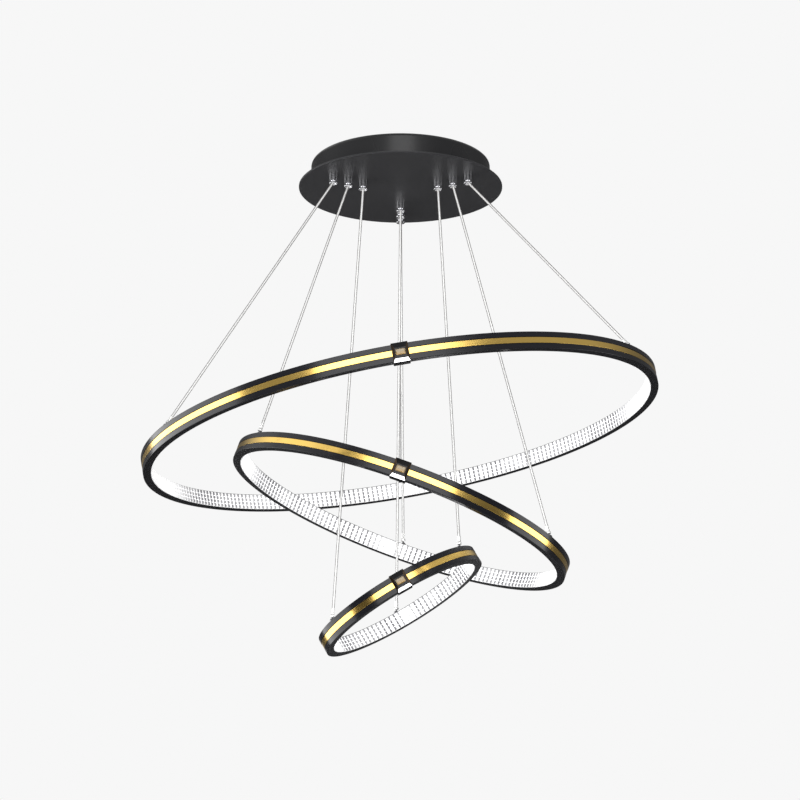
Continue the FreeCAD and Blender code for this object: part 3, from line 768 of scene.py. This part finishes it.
def grow(group, mesh, **sizes):
    """The plain mesh that the tree makes from this mesh and these inputs."""
    seedling = in_scene(mesh.name + "_seedling", mesh)
    modifier = seedling.modifiers.new("grow", "NODES")
    modifier.node_group = group
    for item in group.interface.items_tree:
        if item.in_out == "INPUT" and item.name in sizes:
            modifier[item.identifier] = sizes[item.name]
    return plain_mesh(seedling)


print("growing helpers ready")

# %% [markdown]
# ### LED strip
#
# Behind the lens a white circuit strip carries a row of small LED chips. The tree sets one chip, a thin box, on each
# point of a circle and turns it to face the ring's middle. An Array modifier along a curve could do that too, but here
# the number of chips is one plain input.

# %% The LED strips
def chips(tree, sockets):
    circle = tree.add("GeometryNodeMeshCircle", None, {"Vertices": sockets["Chips"], "Radius": sockets["Radius"]})
    chip = tree.add("GeometryNodeMeshCube", None, {"Size": tree.add(
        "ShaderNodeCombineXYZ", None, {0: sockets["Thick"], 1: sockets["Side"], 2: sockets["Side"]})})
    index = tree.add("GeometryNodeInputIndex")
    turn = index / sockets["Chips"] * (2 * math.pi)
    facing = tree.add("ShaderNodeCombineXYZ", None, {2: turn})
    row = tree.add("GeometryNodeInstanceOnPoints", None, {"Points": circle, "Instance": chip, "Rotation": facing})
    coloured = tree.add("GeometryNodeSetMaterial", None, {"Geometry": tree.add(
        "GeometryNodeRealizeInstances", None, {"Geometry": row}), "Material": sockets["Chip finish"]})
    strip = tree.add("GeometryNodeSetMaterial", None,
                     {"Geometry": sockets["Geometry"], "Material": sockets["Strip finish"]})
    return tree.add("GeometryNodeJoinGeometry", None, {"Geometry": [coloured, strip]})


def glowing(colour, strength):
    def build(tree):
        patch = grain(tree, place_in(tree), 300, 2)
        return {"Base Color": colour, "Roughness": 0.4 + patch * 0.1, "Emission Color": colour,
                "Emission Strength": strength}
    return build


chip_tree = growing_tree("led_chips", {"Chips": 100, "Radius": 0.1, "Thick": 0.001, "Side": 0.003,
                                       "Strip finish": None, "Chip finish": None}, chips)
# The white circuit strip gets a painted glow of strength 0.35, though only its chips are lamps.
painted_glow_strip_finish = finish("white_circuit_strip", glowing((0.92, 0.91, 0.88, 1), 0.35))
chip_finish = finish("led_phosphor", glowing((1.0, 0.93, 0.72, 1), 1.2))
CHIP_PITCH, CHIP_SIDE, CHIP_THICK = 8 * MM, 3 * MM, 0.7 * MM
TAPE = {"height": 10 * MM, "thick": 0.4 * MM, "edge": 0.05 * MM}
for name, ring in RINGS.items():
    face = ring["radius"] - BAND["back"] - TAPE["thick"]
    strip = spun(f"{name}_led_tape", strip_section(face, face + TAPE["thick"], TAPE["height"], TAPE["edge"]),
                 STEPS[name])
    tape = grow(chip_tree, strip, Chips=round(2 * math.pi * face / CHIP_PITCH), Radius=face - CHIP_THICK / 2,
                Thick=CHIP_THICK, Side=CHIP_SIDE, **{"Strip finish": painted_glow_strip_finish, "Chip finish": chip_finish})
    tape.name = f"{name}_led_tape"
    tape.transform(ring["place"])
    new_piece(tape, None, f"{name}_ring", "led_strip", f"{name}_led_strip")
    print(f"{tape.name}: {len(tape.polygons)} faces")

# %% [markdown]
# ### Crystal lens
#
# The lens is clear acrylic with a cut-crystal face: four rows of small pillows all the way round, each a low pyramid
# with its tip cut flat. A spun section gives the body, already divided into one square for each pillow. The tree picks
# the squares that face the middle of the ring, draws each one inwards, and shrinks its end, so that every square
# becomes a crystal. It also marks the flanks that face along the band. The white light of the LEDs behind is painted
# into the crystal as a glow, apart from those flanks, which get a painted reflection of the black channel: the more
# such a flank faces the eye, the darker it is painted. Layer Weight knows how much a facet faces the eye, and gives
# these short grey strokes of painted reflection their strength.

# %% The crystal lenses
def cut_crystals(tree, sockets):
    spot = tree.add("GeometryNodeInputPosition")
    flat = tree.add("ShaderNodeVectorMath", {"operation": "MULTIPLY"}, {0: spot, 1: (1, 1, 0)})
    outward = tree.add("ShaderNodeVectorMath", {"operation": "NORMALIZE"}, {0: flat})
    facing = tree.add("ShaderNodeVectorMath", {"operation": "DOT_PRODUCT"},
                      {0: tree.add("GeometryNodeInputNormal"), 1: outward}, output="Value")
    reach = tree.add("ShaderNodeVectorMath", {"operation": "LENGTH"}, {0: flat}, output="Value")
    inner = tree.math("LESS_THAN", facing, -0.9) * tree.math("LESS_THAN", reach, sockets["Face radius"])
    drawn = tree.add("GeometryNodeExtrudeMesh", {"mode": "FACES"},
                     {"Mesh": sockets["Geometry"], "Selection": inner, "Offset Scale": sockets["Cut depth"],
                      "Individual": True})
    lower = tree.add("GeometryNodeScaleElements", None,
                     {"Geometry": drawn, "Selection": drawn.output("Top"), "Scale": sockets["Table height"]})
    along = tree.add("ShaderNodeVectorMath", {"operation": "CROSS_PRODUCT"}, {0: outward, 1: (0, 0, 1)})
    shrunk = tree.add("GeometryNodeScaleElements", {"scale_mode": "SINGLE_AXIS"},
                      {"Geometry": lower, "Selection": drawn.output("Top"), "Scale": sockets["Table width"],
                       "Axis": along})
    sideways = tree.add("ShaderNodeVectorMath", {"operation": "DOT_PRODUCT"},
                        {0: tree.add("GeometryNodeInputNormal"), 1: along}, output="Value")
    side_flank = tree.math("GREATER_THAN", tree.math("ABSOLUTE", sideways), 0.3)
    marked = tree.add("GeometryNodeStoreNamedAttribute", {"data_type": "FLOAT", "domain": "FACE"},
                      {"Geometry": shrunk, "Name": "flank", "Selection": drawn.output("Side"), "Value": side_flank})
    return tree.add("GeometryNodeSetMaterial", None, {"Geometry": marked, "Material": sockets["Finish"]})


# The grey of the painted reflection of the black channel in the crystal's flanks.
PAINTED_REFLECTION_GREY = (0.17, 0.17, 0.18, 1)


def crystal(tree):
    flank = tree.add("ShaderNodeAttribute", {"attribute_name": "flank"}, output="Fac")
    towards_eye = tree.ramp(turned_away(tree), 0.215, 0.11)
    patchy = grain(tree, place_in(tree), 45, 1)
    # Painted reflection: a flank is painted grey the more it faces the eye; the emission is a painted glow for the
    # LEDs' light behind.
    painted_reflection = flank * towards_eye * (patchy * 0.8 + 0.6)
    return {
        "Base Color": tree.mix(painted_reflection, (0.90, 0.90, 0.91, 1), PAINTED_REFLECTION_GREY),
        "Roughness": 0.10,
        "IOR": 1.49,
        "Coat Weight": 0.3,
        "Emission Color": tree.mix(painted_reflection, grey(1.0), PAINTED_REFLECTION_GREY),
        "Emission Strength": 0.45,
    }


crystal_tree = growing_tree("crystal_facets", {"Face radius": 0.1, "Cut depth": 0.001, "Table height": 0.8,
                                               "Table width": 0.5, "Finish": None}, cut_crystals)
crystal_finish = finish("cut_crystal", crystal)
LENS = {"lip": 9.2 * MM, "proud": 0.15 * MM, "front": 10.6 * MM, "tongue": 6.1 * MM, "half": 9.0 * MM,
        "half_tongue": 8.2 * MM, "rows": 4, "pitch": 6.0 * MM, "table_height": 0.76, "table_width": 0.46}
for name, ring in RINGS.items():
    outer = ring["radius"]
    face = outer - LENS["lip"] - LENS["proud"]
    rows = [(face, LENS["half"] * (1 - 2 * step / LENS["rows"])) for step in range(LENS["rows"] + 1)]
    body = [(outer - LENS["lip"], -LENS["half"]), (outer - LENS["lip"], -LENS["half_tongue"]),
            (outer - LENS["tongue"], -LENS["half_tongue"]), (outer - LENS["tongue"], LENS["half_tongue"]),
            (outer - LENS["lip"], LENS["half_tongue"]), (outer - LENS["lip"], LENS["half"])]
    count = round(2 * math.pi * face / LENS["pitch"])
    blank = spun(f"{name}_crystal_blank", rows + body, count, sharp=0)
    lens = grow(crystal_tree, blank, Finish=crystal_finish,
                **{"Face radius": face + 0.1 * MM, "Cut depth": LENS["front"] - LENS["lip"] - LENS["proud"],
                   "Table height": LENS["table_height"], "Table width": LENS["table_width"]})
    lens.name = f"{name}_crystal_lens"
    lens.transform(ring["place"])
    lens.shade_flat()
    new_piece(lens, None, f"{name}_ring", "crystal_lens", f"{name}_lens")
    print(f"{lens.name}: {count} columns, {len(lens.polygons)} faces")

# %% [markdown]
# ## Clasps
#
# At the front of each ring a clasp closes the band: a sleeve with four sloping facets round a window, and in it a
# faceted amber stone. The CAD clasp has the right shape. A merged copy of its mesh gets fine bevels and gloss black
# lacquer. Its lower facet is cut across by a plane, and by how each face looks towards the viewer the part below the
# cut gets bright chrome and the facets on the left and right smoked bronze: both are painted reflection.

# %% Finishes of the clasp and its stone
def lacquer(tree):
    wave = grain(tree, place_in(tree), 60, 2)
    return {"Base Color": tree.mix(wave, grey(0.004), (0.010, 0.010, 0.011, 1)),
            "Roughness": 0.08 + wave * 0.05, "Specular IOR Level": 0.22}


HALF_STONE = 4.2 * MM
# The stone's amber with painted light over it: deep orange at the lower edge, a greyer band just above the middle,
# paler at the top.
AMBER_AND_PAINTED_LIGHT_STOPS = [  # from the stone's lower edge to its upper one
    (0.0, (0.30, 0.17, 0.03, 1)), (0.42, (0.32, 0.20, 0.06, 1)), (0.55, (0.26, 0.20, 0.10, 1)),
    (1.0, (0.36, 0.27, 0.18, 1)),
]


def amber(ring_name):
    def build(tree):
        spot = place_in(tree, ring_name)
        # Painted light: the stone's colour follows its height.
        rise = tree.ramp(tree.add("ShaderNodeSeparateXYZ", None, {0: spot}).output("Z"), -HALF_STONE, HALF_STONE)
        smoke = grain(tree, spot, 350, 2)
        return {
            "Base Color": tree.add("ShaderNodeValToRGB", {"stops": AMBER_AND_PAINTED_LIGHT_STOPS}, {"Fac": rise * 0.8 + smoke * 0.2}),
            "Roughness": 0.05 + smoke * 0.04,
            "IOR": 1.5,
            "Coat Weight": 0.2,
        }
    return build


# Smoked bronze for the clasp's left and right facets: a painted reflection, dark brown.
def bronze(tree):
    smoke = grain(tree, place_in(tree), 300, 2)
    return {"Base Color": tree.mix(smoke, (0.08, 0.06, 0.04, 1), (0.14, 0.10, 0.07, 1)), "Metallic": 1.0,
            "Roughness": 0.16 + smoke * 0.08}


gloss_black = finish("gloss_black_lacquer", lacquer)
smoked_bronze = finish("smoked_bronze", bronze)
print(gloss_black.name, smoked_bronze.name)

# %% The clasps
def bevelled_copy(name, node, width, segments=2):
    """A merged copy of a CAD node's mesh, with its flat faces joined and its edges bevelled."""
    shape = bmesh.new()
    shape.from_mesh(frame["nodes"][node].data)
    bmesh.ops.remove_doubles(shape, verts=shape.verts, dist=1e-6)
    bmesh.ops.dissolve_limit(shape, angle_limit=math.radians(2), verts=shape.verts, edges=shape.edges)
    holder = in_scene(name, mesh_from(name, shape))
    bevel = holder.modifiers.new("edges", "BEVEL")
    bevel.width, bevel.segments = width, segments
    bevel.limit_method, bevel.angle_limit = "ANGLE", math.radians(15)
    mesh = plain_mesh(holder)
    mesh.name = name
    return mesh


def cut_across(mesh, place, height):
    """Cut a mesh's faces by the plane at that height in its ring's own frame."""
    shape = bmesh.new()
    shape.from_mesh(mesh)
    bmesh.ops.bisect_plane(shape, geom=[*shape.verts, *shape.edges, *shape.faces],
                           plane_co=place @ Vector((0, 0, height)), plane_no=place.to_3x3() @ Vector((0, 0, 1)))
    shape.to_mesh(mesh)
    shape.free()


# Below this height the clasp's lower facet is chrome: a painted reflection of the light that facet catches.
PAINTED_BRIGHT_BELOW = -6.9 * MM
CLASP_FINISHES = (gloss_black, satin_chrome, smoked_bronze)
BLACK, PAINTED_BRIGHT_FACET, PAINTED_SMOKED_FACET = range(3)


def facet_finish(facing, height):
    """Which finish a face gets, from the way it faces and its height in the ring's frame, with the viewer at -Y: the
    bright and smoked finishes are painted reflection.
    """
    if -0.45 < facing.z < -0.1 and facing.y < -0.8 and height < PAINTED_BRIGHT_BELOW:
        return PAINTED_BRIGHT_FACET
    if abs(facing.x) > 0.3 and facing.y < -0.7:
        return PAINTED_SMOKED_FACET
    return BLACK


for name, ring in RINGS.items():
    clasp = bevelled_copy(f"{name}_jewel_clasp", f"{name}_clasp", 0.12 * MM)
    cut_across(clasp, ring["place"], PAINTED_BRIGHT_BELOW)
    clasp.materials.clear()
    for material in CLASP_FINISHES:
        clasp.materials.append(material)
    back = ring["place"].inverted()
    for face in clasp.polygons:
        face.material_index = facet_finish(back.to_3x3() @ face.normal, (back @ face.center).z)
    clasp.shade_smooth()
    clasp.set_sharp_from_angle(angle=math.radians(12))
    new_piece(clasp, None, f"{name}_ring", "clasp_black", f"{name}_clasp")
    bright = sum(face.material_index == PAINTED_BRIGHT_FACET for face in clasp.polygons)
    print(f"{clasp.name}: {len(clasp.polygons)} faces, {bright} of them bright")

# %% [markdown]
# The stone is a step cut: a flat table with two rows of facets round it and its four corners cut off. A thin black
# bezel lies round it in the window and holds it: taller above and below the stone than at its sides. Both are drawn
# as a few outlines at different depths that facets join, which keeps every facet flat without cutting a block.

# %% The stones
# Each tier: how far it stands out from the band's face, its width, its height and how much its corners are cut.
STONE_TIERS = in_metres((0.2, 10.6, 8.2, 0.6), (1.7, 10.8, 8.4, 0.8), (2.2, 10.4, 6.8, 0.8), (2.6, 8.4, 4.9, 0.9))
BEZEL_TIERS = in_metres(
    (1.9, 10.9, 8.5, 0.1), (2.35, 10.9, 8.5, 0.1), (2.45, 10.7, 8.3, 0.1),
    (2.45, 10.3, 6.6, 0.7), (2.30, 10.2, 6.5, 0.7), (1.9, 10.2, 6.5, 0.7),
)


def cut_rectangle(width, height, cut):
    """Eight corners of a rectangle with its corners cut off."""
    half_w, half_h = width / 2, height / 2
    return [(half_w, half_h - cut), (half_w - cut, half_h), (cut - half_w, half_h), (-half_w, half_h - cut),
            (-half_w, cut - half_h), (cut - half_w, -half_h), (half_w - cut, -half_h), (half_w, cut - half_h)]


def tiered(name, ring, tiers, hollow=False):
    """Eight-sided tiers joined by facets, closed by their first and last faces or, if hollow, into a loop."""
    shape = bmesh.new()
    loops = [[shape.verts.new((x, -(ring["radius"] + depth), z)) for x, z in cut_rectangle(width, height, cut)]
             for depth, width, height, cut in tiers]
    corners = len(loops[0])
    for lower, upper in zip(loops, loops[1:] + loops[:1] if hollow else loops[1:]):
        for number in range(corners):
            following = (number + 1) % corners
            shape.faces.new((lower[number], lower[following], upper[following], upper[number]))
    if not hollow:
        shape.faces.new(loops[0])
        shape.faces.new(loops[-1])
    bmesh.ops.recalc_face_normals(shape, faces=shape.faces)
    mesh = mesh_from(name, shape)
    mesh.transform(ring["place"])
    mesh.shade_flat()
    return mesh


for name, ring in RINGS.items():
    stone = tiered(f"{name}_amber_stone", ring, STONE_TIERS)
    new_piece(stone, finish(f"amber_crystal_{name}", amber(name)), f"{name}_ring", "amber_stone",
              f"{name}_clasp_stone")
    bezel = tiered(f"{name}_stone_bezel", ring, BEZEL_TIERS, hollow=True)
    new_piece(bezel, gloss_black, f"{name}_ring", "clasp_black")
    print(f"{stone.name}: {len(stone.polygons)} facets, bezel {len(bezel.polygons)}")

# %% [markdown]
# ## Floor, light and background
#
# A pale floor lies far below. Two large soft lamps light the piece from the front and from the left, a smaller one from
# the right, and a small high one puts the soft patch on the front of the canopy. They are what the gold and the chrome
# mirror. The world is an even grey for diffuse light and white for the camera, so the background is white without more
# light on the piece. What mirrors and glass show is the same white straight behind the piece, where the paper hangs, a
# dim room round it, and the room's paler ceiling, which is palest on the left, over the lamp.

# %% The floor
FLOOR_Z, FLOOR_HALF = -1.95, 2.6
floor_mesh = bpy.data.meshes.new("studio_floor")
floor_mesh.from_pydata([(x * FLOOR_HALF, y * FLOOR_HALF, FLOOR_Z) for x, y in ((-1, -1), (1, -1), (1, 1), (-1, 1))],
                       [], [(0, 1, 2, 3)])
floor = in_scene("studio_floor", floor_mesh)


def pale_floor(tree):
    patch = grain(tree, place_in(tree), 3, 2)
    return {"Base Color": tree.mix(patch, grey(0.80), grey(0.84)), "Roughness": 0.8}


floor_mesh.materials.append(finish("pale_floor", pale_floor))
print("floor at", FLOOR_Z, "and", 2 * FLOOR_HALF, "wide")

# %% The lamps
LIT_SPOT = Vector((0, 0, -0.42))


def soft_lamp(name, azimuth, elevation, distance, width, height, radiance):
    """A rectangular lamp, aimed at the piece. Azimuth 0 is the viewer's side, and 90 is the right."""
    turn, rise = math.radians(azimuth), math.radians(elevation)
    way = Vector((math.sin(turn) * math.cos(rise), -math.cos(turn) * math.cos(rise), math.sin(rise)))
    lamp = bpy.data.lights.new(name, "AREA")
    lamp.shape = "RECTANGLE"
    lamp.size, lamp.size_y = width, height
    lamp.energy = radiance * math.pi * width * height
    holder = in_scene(name, lamp)
    holder.location = LIT_SPOT + way * distance
    holder.rotation_euler = way.to_track_quat("Z", "Y").to_euler()


soft_lamp("front_lamp", azimuth=-0.5, elevation=4, distance=2.6, width=3.4, height=1.65, radiance=3.6)
soft_lamp("left_lamp", azimuth=-101, elevation=-8, distance=2.2, width=2.85, height=1.6, radiance=3.6)
soft_lamp("right_lamp", azimuth=92, elevation=-6, distance=2.2, width=1.5, height=0.8, radiance=3.2)
soft_lamp("high_lamp", azimuth=2, elevation=30, distance=2.6, width=1.2, height=0.7, radiance=2.5)

# %% The world
PAPER_WHITE, EVEN_GREY = grey(0.93), grey(0.24)
world = bpy.data.worlds.new("studio")
bpy.context.scene.world = world
world.use_nodes = True
world.node_tree.nodes.clear()
tree = Tree(world.node_tree)
ray = tree.add("ShaderNodeLightPath", output="Is Camera Ray")
mirrored = tree.math("MAXIMUM", ray.output("Is Glossy Ray"), ray.output("Is Transmission Ray"))
way = tree.add("ShaderNodeSeparateXYZ", None, {0: tree.add("ShaderNodeTexCoord", output="Generated")})
across, depth, height = (way.output(axis) for axis in "XYZ")
walls = tree.mix(tree.ramp(depth, 0.1, 0.5), grey(0.30), grey(0.12))
walls = tree.mix(tree.ramp(depth, 0.96, 0.99), walls, PAPER_WHITE)
ceiling = tree.mix(tree.ramp(across, -0.45, -0.80), grey(0.55), grey(1.35))
room = tree.mix(tree.ramp(height, 0.38, 0.55), walls, ceiling)
room = tree.mix(tree.ramp(height, -0.10, 0.05), grey(0.05), room)
sky = tree.mix(mirrored, EVEN_GREY, room)
sky = tree.mix(ray, sky, PAPER_WHITE)
tree.add("ShaderNodeOutputWorld", None, {"Surface": tree.add("ShaderNodeBackground", None, {"Color": sky})})
bpy.context.scene.view_settings.view_transform = "Standard"
print("world ready")
